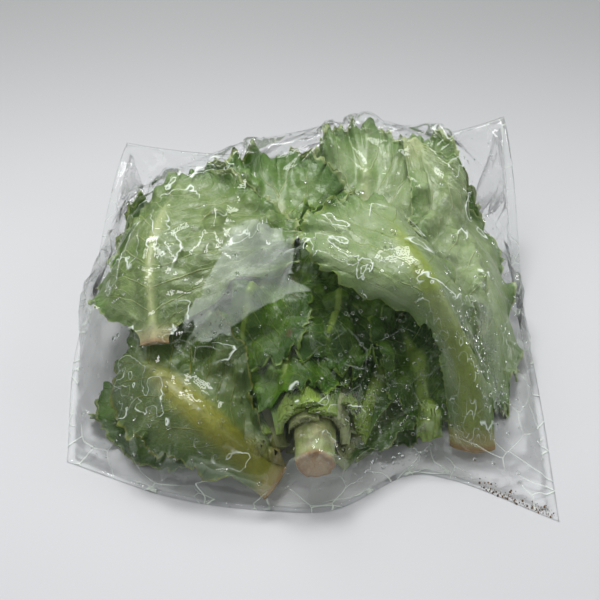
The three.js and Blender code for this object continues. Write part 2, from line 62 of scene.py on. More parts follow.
# Each leaf: its midrib as shares of the head's half width, half length and height, from base to tip; then
# half widths to the left and right of it; how far each edge is cupped; where its ripples start; its stalk's
# half width; how frilly it is; and its tone from 0, pale, to 1, deep green.
LEAVES = {
    "outer_leaf_back": (
        [[0, -0.8, 0], [0, 0, 0.02], [-0.05, 0.42, 0.14], [-0.1, 0.76, 0.4]],
        62, 62, (10, 10), 0, 8, 1, 0.5,
    ),
    "outer_leaf_back_right": (
        [[0.12, -0.8, 0], [0.38, -0.2, 0.04], [0.62, 0.36, 0.22], [0.74, 0.8, 0.46]],
        52, 44, (8, 14), 0.3, 8, 1, 0.4,
    ),
    "outer_leaf_back_left": (
        [[-0.1, -0.8, 0], [-0.4, -0.2, 0.04], [-0.62, 0.24, 0.2], [-0.74, 0.6, 0.42]],
        44, 50, (14, 8), 0.6, 8, 1, 0.5,
    ),
    "low_leaf_left": (
        [[-0.12, -0.86, 0], [-0.5, -0.7, 0.05], [-0.94, -0.44, 0.08]],
        30, 40, (-4, 6), 0.2, 8, 1, 0.6,
    ),
    "low_leaf_right": (
        [[0.22, -0.8, 0], [0.6, -0.5, 0.06], [0.96, -0.1, 0.12]],
        40, 32, (8, -2), 0.8, 8, 1, 0.6,
    ),
    "low_leaf_front": (
        [[0.16, -0.86, 0.02], [0.36, -0.64, 0.12], [0.56, -0.32, 0.2]],
        28, 26, (6, 4), 0.5, 8, 1, 0.7,
    ),
    "tall_leaf_far_right": (
        [[0.2, -0.78, 0.18], [0.42, 0.04, 0.42], [0.6, 0.5, 0.62], [0.66, 0.84, 0.78]],
        34, 32, (4, 6), 0.5, 8, 1, 0.15,
    ),
    "tall_leaf_right": (
        [[0.16, -0.84, 0.16], [0.26, 0, 0.46], [0.34, 0.5, 0.66], [0.36, 0.9, 0.82]],
        40, 36, (6, 4), 0.1, 8, 1, 0.2,
    ),
    "tall_leaf_left": (
        [[-0.12, -0.86, 0.14], [-0.3, -0.04, 0.42], [-0.46, 0.3, 0.6], [-0.54, 0.58, 0.72]],
        44, 44, (2, 6), 0.4, 8, 1, 0.4,
    ),
    "tall_leaf_middle": (
        [[0.02, -0.86, 0.2], [-0.02, 0, 0.5], [-0.1, 0.36, 0.66], [-0.14, 0.7, 0.76]],
        46, 44, (4, 4), 0.7, 8, 1.1, 0.35,
    ),
    "small_leaf_right": (
        [[0.24, -0.8, 0.14], [0.5, -0.28, 0.42], [0.76, 0.2, 0.58]],
        38, 32, (4, 2), 0.9, 8, 1, 0.7,
    ),
    "small_leaf_left": (
        [[-0.18, -0.84, 0.18], [-0.46, -0.34, 0.42], [-0.74, 0.06, 0.56]],
        34, 40, (2, 4), 0.35, 8, 1, 0.8,
    ),
    "heart_leaf_right": (
        [[0.1, -0.84, 0.26], [0.14, -0.08, 0.46], [0.16, 0.34, 0.66]],
        34, 34, (6, 6), 0.55, 8, 1.3, 0.6,
    ),
    "heart_leaf_left": (
        [[-0.04, -0.84, 0.26], [-0.2, -0.12, 0.5], [-0.3, 0.26, 0.7]],
        32, 34, (6, 6), 0.15, 8, 1.3, 0.6,
    ),
    "heart_leaf_middle": (
        [[0.04, -0.82, 0.28], [-0.02, -0.22, 0.52], [-0.06, 0.1, 0.72]],
        28, 28, (6, 6), 0.75, 8, 1.3, 0.5,
    ),
    "front_leaf_middle": (
        [[0.02, -0.2, 0.32], [-0.04, -0.46, 0.38], [-0.1, -0.74, 0.26]],
        32, 32, (-4, -4), 0.45, 2, 1.7, 0.7,
    ),
    "front_leaf_right": (
        [[0.2, -0.1, 0.4], [0.17, -0.32, 0.5], [0.1, -0.57, 0.42]],
        28, 28, (-4, -8), 0.25, 2, 1.7, 0.8,
    ),
    "front_leaf_left": (
        [[-0.12, -0.04, 0.44], [-0.22, -0.28, 0.54], [-0.3, -0.56, 0.42]],
        32, 32, (-8, -4), 0.65, 2, 1.7, 0.8,
    ),
    "inner_leaf_right": (
        [[0.6, -0.76, 0.08], [0.55, -0.54, 0.3], [0.46, -0.26, 0.46]],
        24, 26, (-6, 4), 0.5, 8, 1.2, 0.9,
    ),
    "side_leaf_right": (
        [[0.58, 0.78, 0.44], [0.84, 0.34, 0.52], [0.94, -0.14, 0.36], [0.9, -0.62, 0.1]],
        18, 38, (-24, 4), 0, 3, 1, 0.2,
    ),
    "side_leaf_left": (
        [[-0.11, -0.99, 0.05], [-0.44, -0.8, 0.36], [-0.82, -0.43, 0.44]],
        26, 46, (-22, 2), 0.8, 12, 1, 0.35,
    ),
    "cover_leaf_left": (
        [[-0.66, -0.5, 0.52], [-0.71, -0.05, 0.72], [-0.6, 0.54, 0.74]],
        34, 84, (-44, 2), 0.3, 8, 1, 0.1,
    ),
    "cover_leaf_right": (
        [[0.8, -0.78, 0.04], [0.74, -0.61, 0.5], [0.56, -0.38, 0.88], [0.43, -0.02, 0.9], [0.38, 0.24, 0.86]],
        60, 32, (-2, -26), 0.6, 13, 1, 0.0,
    ),
}
STEM_AFTER = "low_leaf_front"
WIDENS = {  # from where to where along it a leaf widens
    "cover_leaf_left": (0.02, 0.34),
    "cover_leaf_right": (0.43, 0.62),
    "side_leaf_right": (-0.1, 0.4),
    **dict.fromkeys(("front_leaf_middle", "front_leaf_right", "front_leaf_left"), (0.0, 0.3)),
}
# How much broader a midrib is than the others', and how strongly it shows beside theirs.
BOLD = {"side_leaf_left": 1.5, "cover_leaf_right": 1.1, "cover_leaf_left": 0.7}
FAINT = {"side_leaf_right": 0.3, "cover_leaf_left": 0.6}
LEFTWARDS = {"cover_leaf_right": (-1, 0.1)}  # the way to the left of the leaf that is folded over
CUT = ("side_leaf_left", "cover_leaf_left", "cover_leaf_right")  # leaves whose cut stalks show


# ---------------------------------------------------------------- shader sums
class Wire:
    """The output of a shader node, on which sums can be written."""

    def __init__(self, finish, socket):
        self.finish, self.socket = finish, socket

    def _sum(self, operation, *values):
        return self.finish.node("ShaderNodeMath", {"operation": operation}, dict(enumerate(values)))

    def __add__(self, other):
        return self._sum("ADD", self, other)

    __radd__ = __add__

    def __mul__(self, other):
        return self._sum("MULTIPLY", self, other)

    __rmul__ = __mul__

    def __sub__(self, other):
        return self._sum("SUBTRACT", self, other)

    def __rsub__(self, other):
        return self._sum("SUBTRACT", other, self)

    def __abs__(self):
        return self._sum("ABSOLUTE", self)

    def most(self, other):
        return self._sum("MINIMUM", self, other)

    def to_whole(self):
        """How far it is from the nearest whole number, from 0 to a half."""
        return self._sum("PINGPONG", self, 0.5)

    def between(self, low, high, start=0.0, end=1.0):
        """start where it is low, end where it is high, and smooth in between."""
        return self.finish.node(
            "ShaderNodeMapRange",
            {"interpolation_type": "SMOOTHSTEP"},
            {"Value": self, "From Min": low, "From Max": high, "To Min": start, "To Max": end},
        )


class Finish:
    """A material that is being made."""

    def __init__(self, name):
        self.material = bpy.data.materials.new(name)
        self.material.use_nodes = True
        self.tree = self.material.node_tree
        self.tree.nodes.clear()
        self.end = self.tree.nodes.new("ShaderNodeOutputMaterial")

    def node(self, kind, settings=None, inputs=None, output=0):
        """Adds a node: its settings first, then the values or wires of its inputs."""
        made = self.tree.nodes.new(kind)
        for key, value in (settings or {}).items():
            if key == "stops":
                ramp = made.color_ramp
                while len(ramp.elements) < len(value):
                    ramp.elements.new(0.5)
                for element, (place, colour) in zip(ramp.elements, value):
                    element.position, element.color = place, (*colour, 1)
            else:
                setattr(made, key, value)
        for key, value in (inputs or {}).items():
            if isinstance(value, Wire):
                self.tree.links.new(value.socket, made.inputs[key])
            else:
                made.inputs[key].default_value = value
        return Wire(self, made.outputs[output])

    def mix(self, share, first, second):
        """A colour between two others."""
        ports = {0: share, 6: rgba(first), 7: rgba(second)}
        return self.node("ShaderNodeMix", {"data_type": "RGBA"}, ports, 2)

    def mark(self, name):
        """A value that is stored on the piece's points."""
        return self.node("ShaderNodeAttribute", {"attribute_name": name}, output=2)

    def place(self):
        return self.node("ShaderNodeTexCoord", output=3)

    def noise(self, scale, detail=3.0, rough=0.5, twist=0.0, at=None):
        ports = {"Scale": scale, "Detail": detail, "Roughness": rough, "Distortion": twist}
        ports["Vector"] = at or self.place()
        return self.node("ShaderNodeTexNoise", None, ports)

    def warped(self, reach, scale):
        """The place on the object, pushed about so that a pattern on it isn't regular."""
        ports = {"Scale": scale, "Detail": 1.0, "Vector": self.place()}
        push = self.node("ShaderNodeTexNoise", None, ports, 1)
        middle = self.node("ShaderNodeVectorMath", {"operation": "SUBTRACT"}, {0: push, 1: (0.5, 0.5, 0.5)})
        scaled = self.node("ShaderNodeVectorMath", {"operation": "SCALE"}, {0: middle, 3: reach})
        return self.node("ShaderNodeVectorMath", {"operation": "ADD"}, {0: self.place(), 1: scaled})

    def bump(self, height, depth, strength=1.0, under=None):
        ports = {"Height": height, "Distance": depth, "Strength": strength}
        if under:
            ports["Normal"] = under
        return self.node("ShaderNodeBump", None, ports)

    def principled(self, **inputs):
        ports = {}
        for key, value in inputs.items():
            ports[key.replace("_", " ")] = rgba(value) if "Color" in key else value
        return self.node("ShaderNodeBsdfPrincipled", None, ports)

    def done(self, shader):
        self.tree.links.new(shader.socket, self.end.inputs["Surface"])
        return self.material


def rgba(colour):
    return (*colour, 1.0) if isinstance(colour, tuple) and len(colour) == 3 else colour


# ---------------------------------------------------------------- finishes
def leaf_finish(name, blade, deep, margin, rib, shine=0.42):
    """Leaf: blistered between pale side veins, darker towards a frilled margin, with a juicy midrib."""
    f = Finish(name)
    across = f.mark("across")
    along = f.mark("along")
    edge = f.mark("edge")
    midrib = f.mark("rib")
    tone = f.mark("tone")
    side = abs(across)
    wander = f.noise(42, 2) - 0.5
    # Side veins leave the midrib forwards and fork towards the margin.
    count = along * 8.5 - side * 2.3 + wander * 0.9
    vein = count.to_whole().between(0.0, 0.055, 1.0, 0.0) * side.between(0.98, 0.5) * midrib.between(0.6, 0.2)
    forks = along * 17 - side * 8.2 + wander * 2.4
    fork = forks.to_whole().between(0.0, 0.06, 1.0, 0.0) * side.between(0.25, 0.5)
    net = f.node(
        "ShaderNodeTexVoronoi",
        {"feature": "DISTANCE_TO_EDGE"},
        {"Vector": f.place(), "Scale": 210.0, "Randomness": 1.0},
    ).between(0.0, 0.14, 1.0, 0.0)
    blister = f.noise(150, 3, 0.55)
    patch = f.noise(24, 3, 0.6, 0.4)
    green = f.mix(patch.between(0.38, 0.66), blade, deep)
    green = f.mix(tone * (0.15 + 0.7 * patch), green, deep)
    green = f.mix(edge.between(0.7, 1.0) * 0.7, green, margin)
    green = f.mix(blister.between(0.42, 0.68) * 0.35, green, deep)
    pale = (vein * 0.55 + fork * 0.32 + net * 0.14).most(0.75) * edge.between(1.0, 0.55)
    green = f.mix(pale, green, rib)
    stalk = (midrib.between(0.1, 0.75) + along.between(0.13, 0.0) * 0.9).most(1.0)
    streak = f.noise(380, 2, 0.6)
    juicy = f.mix(streak.between(0.35, 0.7) * 0.35, rib, tuple(0.62 * c for c in rib))
    green = f.mix(stalk, green, juicy)
    spots = f.noise(65, 2, 0.7) * 0.6 + f.noise(260, 1) * 0.4
    browned = spots.between(0.665, 0.72) * edge.between(0.5, 0.95) * 0.7
    green = f.mix(browned, green, (0.16, 0.075, 0.02))
    to_cut = f.mark("cut")
    cut, drying = to_cut.between(0.972, 0.99), to_cut.between(0.9, 0.97)
    green = f.mix(drying * 0.6, green, (0.5, 0.4, 0.2))
    green = f.mix(cut * 0.8, green, (0.38, 0.23, 0.1))
    rim = edge.between(0.965, 0.99) * (1 - stalk)
    green = f.mix(rim * 0.6, green, rib)
    bump = f.bump(blister * (1 - 0.9 * stalk), 0.0013, 0.75)
    bump = f.bump(vein + fork * 0.5 + net * 0.2, 0.0005, 0.7, bump)
    bump = f.bump(streak * stalk, 0.0004, 0.5, bump)
    skin = f.principled(
        Base_Color=green,
        Roughness=(blister * 0.22 + (shine - 0.1) + cut * 0.3).most(0.9),
        Normal=bump,
        Subsurface_Weight=0.22,
        Subsurface_Radius=(0.9, 1.3, 0.3),
        Subsurface_Scale=0.0016,
        Specular_IOR_Level=0.45,
        Coat_Weight=0.12,
        Coat_Roughness=0.25,
    )
    return f.done(skin)


def stem_finish():
    """Cut stem: pale juicy sides, and a dried pinkish tan face with a browned ring."""
    f = Finish("cut_stem")
    face = f.mark("face")
    ring = f.mark("ring")
    grain = f.noise(520, 3, 0.6)
    cloud = f.noise(120, 3, 0.6)
    side = f.mix(cloud.between(0.4, 0.65), (0.3, 0.36, 0.12), (0.4, 0.4, 0.18))
    cut = f.mix(cloud.between(0.4, 0.7), (0.56, 0.4, 0.24), (0.42, 0.25, 0.13))
    cut = f.mix(ring.between(0.72, 0.98) * 0.7, cut, (0.3, 0.14, 0.05))
    cut = f.mix(grain.between(0.55, 0.75) * 0.4, cut, (0.68, 0.55, 0.38))
    bump = f.bump(grain * 0.6 + cloud, 0.0012, 0.7)
    return f.done(
        f.principled(
            Base_Color=f.mix(face, side, cut),
            Roughness=(0.4 + face * 0.25 + grain * 0.1).most(0.9),
            Normal=bump,
            Subsurface_Weight=0.25,
            Subsurface_Radius=(1.0, 0.8, 0.4),
            Subsurface_Scale=0.002,
        )
    )


def film_finish():
    """Clear film: a milky haze where it clings to the leaves, sharp reflections, and painted highlights:
    milky lines where it is bent or folded and round the edge of where it clings.
    """
    f = Finish("clear_film")
    seal = f.mark("seal")
    touch = f.mark("touch")
    bend = f.mark("bend")
    fine = f.noise(150, 2, 0.5, 0.6)
    facets = f.node(
        "ShaderNodeTexVoronoi",
        {"feature": "DISTANCE_TO_EDGE"},
        {"Vector": f.warped(0.012, 30), "Scale": 38.0, "Randomness": 1.0},
    )
    fold_highlight_lines = facets.between(0.0, 0.014, 1.0, 0.0)
    bump = f.bump(f.noise(34, 3, 0.5, 1.2), 0.002, 0.35)
    bump = f.bump(facets.most(0.25), 0.0025, 0.5, bump)
    bump = f.bump(fine, 0.0004, 0.2, bump)
    cloud = f.noise(21, 3, 0.6, 0.8)
    crumpled = f.noise(14, 2, 0.5).between(0.5, 0.66) * f.noise(90, 1).between(0.42, 0.52)
    place = touch + (f.noise(19, 1, 0.4, 1.6) - 0.5) * 1.6 - 0.96
    clings = place.between(0.0, 0.04)
    # Milky lines round the edge of where the film clings: painted highlight standing in for light caught by
    # the wet edge.
    line = abs(place).between(0.0, 0.028, 1.0, 0.0) * f.noise(33, 1).between(0.42, 0.5)
    # Milky lines where the film bends sharply, along the edges of its facets and along the seal, and more
    # where it lies loose near the table: painted highlights standing in for light caught by sharp bends.
    painted_crease_highlight = bend.between(0.45, 1.3) * 0.12 + fold_highlight_lines * (crumpled * 0.2 + seal * 0.5)
    height = f.node("ShaderNodeSeparateXYZ", None, {0: f.place()}, 2)
    loose = height.between(0.003, 0.024, 1.0, 0.0) * f.noise(25, 1).between(0.44, 0.52)
    painted_crease_highlight = painted_crease_highlight + facets.between(0.0, 0.022, 1.0, 0.0) * loose * 0.6
    patch = f.mark("patch")
    milk = (patch + (cloud - 0.5) * 2.4).between(0.56, 0.64) * (0.1 + f.noise(60, 3, 0.7) * 0.34)
    haze = clings * (0.006 + cloud.between(0.5, 0.75) * 0.09)
    # The milky shader is mixed in for the real haze and milky patches, and for the painted highlight lines.
    mist_and_painted_highlights = 0.002 + haze + line * 0.8 + painted_crease_highlight + seal * 0.02 + milk
    shine = f.node("ShaderNodeFresnel", None, {"IOR": 1.33, "Normal": bump})
    clear = f.node("ShaderNodeBsdfTransparent", None, {"Color": (0.995, 0.998, 0.998, 1)})
    milky = f.principled(Base_Color=(0.84, 0.92, 0.82), Roughness=0.35, Normal=bump)
    white = (1, 1, 1, 1)
    gloss = f.node("ShaderNodeBsdfGlossy", None, {"Color": white, "Roughness": 0.05, "Normal": bump})
    body = f.node("ShaderNodeMixShader", None, {0: mist_and_painted_highlights.most(0.85), 1: clear, 2: milky})
    return f.done(f.node("ShaderNodeMixShader", None, {0: (shine * 0.6).most(0.6), 1: body, 2: gloss}))


def film_inside_finish():
    """The film's inner side, and where it lies flat on the table: next to nothing shows."""
    f = Finish("clear_film_inside")
    clear = f.node("ShaderNodeBsdfTransparent", None, {"Color": (0.998, 0.998, 0.998, 1)})
    milky = f.principled(Base_Color=(0.9, 0.9, 0.9), Roughness=f.noise(40, 2) * 0.2 + 0.2)
    return f.done(f.node("ShaderNodeMixShader", None, {0: f.noise(18, 2) * 0.008, 1: clear, 2: milky}))


def water_finish():
    f = Finish("water_drop")
    ripple = f.bump(f.noise(900, 1), 0.0001, 0.2)
    return f.done(
        f.principled(
            Base_Color=(0.97, 0.99, 0.98),
            Roughness=0.03,
            Normal=ripple,
            IOR=1.33,
            Transmission_Weight=1.0,
        )
    )


def soil_finish():
    f = Finish("dry_soil")
    grit = f.noise(900, 3, 0.7)
    colour = f.mix(grit.between(0.35, 0.65), (0.1, 0.055, 0.025), (0.24, 0.14, 0.07))
    return f.done(f.principled(Base_Color=colour, Roughness=grit * 0.2 + 0.75, Normal=f.bump(grit, 0.0006)))


def table_finish():
    f = Finish("pale_table")
    soft = f.noise(2.2, 2)
    away = f.node("ShaderNodeSeparateXYZ", None, {0: f.place()}, 1)
    # Darker towards the back: painted shade, standing in for the lamps' light falling off with distance.
    colour = f.mix(soft * 0.06 + away.between(-0.05, 0.45) * 0.9, (0.63, 0.635, 0.65), (0.31, 0.315, 0.315))
    return f.done(f.principled(Base_Color=colour, Roughness=0.6, Normal=f.bump(f.noise(300, 2), 0.0002, 0.1)))


# Each finish: its blade, its deeper patches, its margin, and its midrib and veins.
PALE = leaf_finish(
    "pale_leaf_back", (0.34, 0.43, 0.22), (0.2, 0.3, 0.1),
    (0.1, 0.2, 0.035), (0.5, 0.56, 0.28)
)
BROAD = leaf_finish(
    "broad_leaf_back", (0.21, 0.29, 0.1), (0.115, 0.19, 0.04),
    (0.1, 0.2, 0.035), (0.44, 0.5, 0.22)
)
FOLDED = leaf_finish(
    "folded_leaf_back", (0.36, 0.44, 0.25), (0.22, 0.31, 0.12),
    (0.13, 0.24, 0.045), (0.27, 0.35, 0.07)
)
OUTER = leaf_finish(
    "outer_leaf", (0.2, 0.32, 0.085), (0.1, 0.2, 0.03),
    (0.06, 0.14, 0.02), (0.42, 0.47, 0.2)
)
HEART = leaf_finish(
    "heart_leaf", (0.17, 0.34, 0.014), (0.022, 0.08, 0.002),
    (0.06, 0.17, 0.006), (0.3, 0.44, 0.07)
)
OLIVE = leaf_finish(
    "olive_stalked_leaf", (0.19, 0.26, 0.085), (0.08, 0.15, 0.02),
    (0.05, 0.11, 0.012), (0.26, 0.27, 0.03)
)
WEARS = {
    **dict.fromkeys(("tall_leaf_right", "tall_leaf_far_right", "side_leaf_right"), PALE),
    "cover_leaf_left": BROAD,
    **dict.fromkeys(("tall_leaf_left", "tall_leaf_middle", "outer_leaf_back", "outer_leaf_back_left"), OUTER),
    **dict.fromkeys(("outer_leaf_back_right", "low_leaf_left", "low_leaf_right", "low_leaf_front"), OUTER),
    "side_leaf_left": OLIVE,
    "cover_leaf_right": FOLDED,
}


# ---------------------------------------------------------------- shapes
def smooth(t):
    s = np.clip(t, 0, 1)
    return s * s * (3 - 2 * s)


class Dapple:
    """Soft random hills and hollows over a plane, from -1 to 1."""

    def __init__(self, seed):
        self.table = np.random.default_rng(seed).uniform(-1, 1, (64, 64))

    def __call__(self, x, y):
        i, j = np.floor(x).astype(int), np.floor(y).astype(int)
        u, v = smooth(x - i), smooth(y - j)
        at = lambda a, b: self.table[(i + a) % 64, (j + b) % 64]
        return (at(0, 0) * (1 - u) + at(1, 0) * u) * (1 - v) + (at(0, 1) * (1 - u) + at(1, 1) * u) * v


def line_through(points, shares):
    """Points and directions at shares of the length of a smooth line through some points."""
    p = np.array(points, float)
    p = np.vstack([2 * p[0] - p[1], p, 2 * p[-1] - p[-2]])
    dense = []
    for a, b, c, d in zip(p, p[1:], p[2:], p[3:]):
        step = [max(np.linalg.norm(q - r) ** 0.5, 1e-6) for q, r in ((b, a), (c, b), (d, c))]
        m1 = ((b - a) / step[0] - (c - a) / (step[0] + step[1]) + (c - b) / step[1]) * step[1]
        m2 = ((c - b) / step[1] - (d - b) / (step[1] + step[2]) + (d - c) / step[2]) * step[1]
        s = np.linspace(0, 1, 60, endpoint=False)[:, None]
        dense.append(
            (2 * s**3 - 3 * s**2 + 1) * b
            + (s**3 - 2 * s**2 + s) * m1
            + (3 * s**2 - 2 * s**3) * c
            + (s**3 - s**2) * m2
        )
    dense = np.vstack([*dense, p[-2:-1]])
    gone = np.concatenate([[0], np.cumsum(np.linalg.norm(np.diff(dense, axis=0), axis=1))])
    at = np.stack([np.interp(shares * gone[-1], gone, dense[:, k]) for k in range(3)], 1)
    ahead = np.gradient(at, axis=0)
    return at, ahead / np.linalg.norm(ahead, axis=1)[:, None], gone[-1]


def half_width(t, most, stalk, start=0.06, end=WIDEST):
    wide = stalk + (most - stalk) * smooth((t - start) / (end - start))
    round_tip = most * np.sqrt(np.clip(1 - ((t - WIDEST) / (1 - WIDEST)) ** 2, 0, 1))
    return np.where(t < WIDEST, wide, round_tip)


def leaf_form(name):
    """The leaf before it is laid: its points, its thickness and where each point is on it."""
    path, left, right, cup, start, stalk, frill, tone = LEAVES[name]
    seed = sum(ord(c) * (k + 7) for k, c in enumerate(name))
    dapple = Dapple(seed)
    t = 0.985 * np.linspace(0, 1, ROWS + 1)
    v = np.linspace(-1, 1, COLUMNS + 1)
    v = np.sign(v) * (1 - (1 - np.abs(v)) ** 1.3)
    scale = np.array([HEAD["width"] / 2, HEAD["length"] / 2, HEAD["height"]])
    at, ahead, length = line_through(np.array(path) * scale + [*HEAD_AT, 0], t)
    ahead = ahead * [1, 1, 0]
    ahead = ahead / np.linalg.norm(ahead, axis=1)[:, None]
    if name in LEFTWARDS:
        left_x, left_y = LEFTWARDS[name]
        ahead = ahead * 0 + np.array([left_y, -left_x, 0]) / math.hypot(left_x, left_y)
    aside = np.stack([-ahead[:, 1], ahead[:, 0], 0 * t], 1)
    T, V = np.meshgrid(t, v, indexing="ij")
    most = np.where(V > 0, left, right)
    wide = half_width(T, most, stalk, *WIDENS.get(name, ()))
    reach = V * wide
    tip = np.clip((T - WIDEST) / (1 - WIDEST), 0, 1)
    sideways = V * np.sqrt(1 - tip**2)
    edge = np.sqrt(tip**2 + sideways**2)
    round_it = 0.5 * (most + (1 - WIDEST) * length)
    arc = np.where(
        T > WIDEST,
        np.arctan2(sideways, tip + 1e-9) * round_it,
        np.sign(V) * (np.pi / 2 * round_it + (WIDEST - T) * length),
    )
    grown = smooth((T - 0.08) / 0.3)
    # Ruffles: broad folds, then finer ones on them towards the margin.
    wobble = 6 * dapple(arc / 31 + 3, edge * 0.6 + 9)
    stray = lambda wave, shift: 0.42 * dapple(arc / wave * 0.7 + shift, edge * 1.5)
    turn = lambda wave, shift: 2 * np.pi * ((arc + wobble) / wave + shift + stray(wave, shift))
    swell = lambda wave, shift: 0.55 + 0.8 * dapple(arc / wave / 1.7 + 20 * shift, 0 * arc + 5 * shift)
    broad, mid, fine = turn(36, start), turn(15, start + 0.4), turn(6.3, start + 0.2)
    ruffle = frill * (
        4.5 * edge**3 * np.sin(broad) * swell(36, start)
        + 4.4 * edge**7 * np.sin(mid) * swell(15, 0.3)
        + 2.4 * edge**14 * np.sin(fine) * swell(6.3, 0.7)
    )
    ripple = 5 * np.sin(2 * np.pi * (start + 2.5 * T + np.where(V < 0, 0.4, 0))) * np.abs(V) ** 3
    lift = np.where(V > 0, cup[0], cup[1]) * V**2
    rise = (lift + ripple) * smooth(T / WIDEST) + ruffle * grown
    # The margin is lobed and toothed.
    out = grown * (
        1.2 * edge**8 * np.sin(mid + 1.2) * swell(15, 0.5)
        + 2.2 * edge**16 * (1 - 2.1 * np.abs(dapple(arc / 2.9, 0 * arc + 7))).clip(0, 1)
        + 1.3 * edge**26 * (1 - 2.4 * np.abs(dapple(arc / 1.5, 0 * arc + 17))).clip(0, 1)
        + 3.4 * edge**6 * dapple(arc / 12, 0 * arc + 2)
    )
    slide = frill * grown * (1.0 * edge**7 * np.sin(2 * mid) + 1.6 * edge**4 * np.sin(2 * broad))
    # Blisters between the side veins.
    count = T * 8.5 - np.abs(V) * 2.3
    blister = dapple(reach / 6.5 + 11, T * length / 6.5) * 0.75
    blister = blister + dapple(reach / 3.4, T * length / 3.4 + 30) * 0.35
    blister = blister * smooth((np.abs(reach) - stalk * 0.8) / 10) * grown
    channel = -0.45 * np.exp(-((count - np.round(count)) / 0.09) ** 2) * grown * (1 - edge**6)
    channel = channel * smooth((np.abs(reach) - stalk * BOLD.get(name, 1) * 0.7) / 9)
    rise = rise + blister * 1.1 + channel
    across = reach + np.sign(V) * out * np.abs(sideways)
    forward = out * tip + slide
    points = at[:, None, :] + aside[:, None, :] * across[..., None] + ahead[:, None, :] * forward[..., None]
    points[..., 2] += rise
    rib_wide = (stalk + RIB_SHARE * wide * T) * BOLD.get(name, 1)
    rib = np.exp(-((reach / rib_wide) ** 2) * 1.4)
    crown = np.exp(-((reach / (0.55 * rib_wide * (1 - 0.6 * T))) ** 2) * 1.1)
    swollen = np.where(T < 0.16, rib + (crown - rib) * smooth(T / 0.16), crown)
    thick = BLADE + (0.5 * stalk - BLADE) * swollen * (1 - 0.9 * T)
    thick = np.maximum(thick * (1 - 0.75 * np.abs(V) ** 10), 0.4)
    midrib = crown * smooth((0.97 - T) / 0.4) * FAINT.get(name, 1)
    cut = (name in CUT) * (1 - T)
    return dict(points=points, thick=thick, edge=edge, rib=midrib, along=T, across=V, tone=tone, cut=cut)


def plan_box(names):
    corners = [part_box(n) for n in names]
    low = [min(c[0][k] for c in corners) / MM for k in (0, 1)]
    high = [max(c[1][k] for c in corners) / MM for k in (0, 1)]
    return low, high


def spread(forms):
    """Fits the leaves' plan to the place that they hold on the table."""
    low, high = plan_box(forms)
    calm = [f["points"][:, 4:-4] for f in forms.values()]
    for k in (0, 1):
        own = min(p[..., k].min() for p in calm), max(p[..., k].max() for p in calm)
        for f in forms.values():
            fitted = low[k] + (f["points"][..., k] - own[0]) * (high[k] - low[k]) / (own[1] - own[0])
            f["points"][..., k] += FIT * (fitted - f["points"][..., k])


class Pile:
    """The highest and lowest places of what has been laid so far, over the table."""

    def __init__(self, start):
        self.size = 2 * np.array([150, 170])
        self.count = np.ceil(self.size / CELL).astype(int)
        self.top = np.full(self.count, start)
        self.low = np.full(self.count, 400.0)

    def cell(self, points):
        at = np.floor((points[..., :2] + self.size / 2) / CELL).astype(int)
        return tuple(np.clip(at[..., k], 0, self.count[k] - 1) for k in (0, 1))

    def under(self, points, spare=1):
        top = self.top
        for _ in range(spare):
            wide = np.pad(top, 1, mode="edge")
            n, m = top.shape
            top = np.max([wide[a : a + n, b : b + m] for a in range(3) for b in range(3)], axis=0)
        return top[self.cell(points)]

    def lowest(self, points):
        low = self.low
        wide = np.pad(low, 1, mode="edge")
        n, m = low.shape
        low = np.min([wide[a : a + n, b : b + m] for a in range(3) for b in range(3)], axis=0)
        return low[self.cell(points)]

    def add(self, points):
        cells = self.cell(points)
        np.maximum.at(self.top, cells, points[..., 2])
        np.minimum.at(self.low, cells, points[..., 2])


def ease(need, rounds, fixed=None):
    """Spreads lifts over a grid so that they are smooth and nowhere less than needed."""
    lift = need.copy()
    for _ in range(rounds):
        wide = np.pad(lift, 1, mode="edge")
        near = (wide[:-2, 1:-1] + wide[2:, 1:-1] + wide[1:-1, :-2] + wide[1:-1, 2:]) / 4
        lift = np.maximum((lift + near) / 2, need)
        if fixed is not None:
            lift = np.where(fixed, need, lift)
    return lift


def normals(points):
    n = np.cross(np.gradient(points, axis=0), np.gradient(points, axis=1))
    return n / np.maximum(np.linalg.norm(n, axis=2), 1e-9)[..., None]


def grid_faces(rows, columns):
    a = (np.arange(rows)[:, None] * (columns + 1) + np.arange(columns)[None, :]).ravel()
    return np.stack([a, a + columns + 1, a + columns + 2, a + 1], 1)


def grid_rim(rows, columns):
    k = np.arange((rows + 1) * (columns + 1)).reshape(rows + 1, columns + 1)
    return np.concatenate([k[:-1, 0], k[-1, :-1], k[:0:-1, -1], k[0, :0:-1]])


def make_piece(name, points, faces, material, marks=None, smooth_it=True):
    """A mesh object from points in millimetres, with values for its material stored on its points."""
    mesh = bpy.data.meshes.new(name)
    mesh.from_pydata((np.asarray(points) * MM).tolist(), [], [list(map(int, f)) for f in faces])
    for key, values in (marks or {}).items():
        mark = mesh.attributes.new(key, "FLOAT", "POINT")
        mark.data.foreach_set("value", np.asarray(values, np.float32).ravel())
    mesh.materials.append(material)
    mesh.polygons.foreach_set("use_smooth", [smooth_it] * len(mesh.polygons))
    made = bpy.data.objects.new(name, mesh)
    bpy.context.scene.collection.objects.link(made)
    return made


def two_sided(lower, upper, marks):
    """Closes two sheets of the same grid round their rim."""
    rows, columns = lower.shape[0] - 1, lower.shape[1] - 1
    sheet = grid_faces(rows, columns)
    rim = grid_rim(rows, columns)
    count = lower.shape[0] * lower.shape[1]
    after = np.roll(rim, -1)
    walls = np.stack([rim, after, after + count, rim + count], 1)
    faces = np.vstack([sheet[:, ::-1], sheet + count, walls])
    points = np.vstack([lower.reshape(-1, 3), upper.reshape(-1, 3)])
    return points, faces, {k: np.concatenate([m.ravel(), m.ravel()]) for k, m in marks.items()}


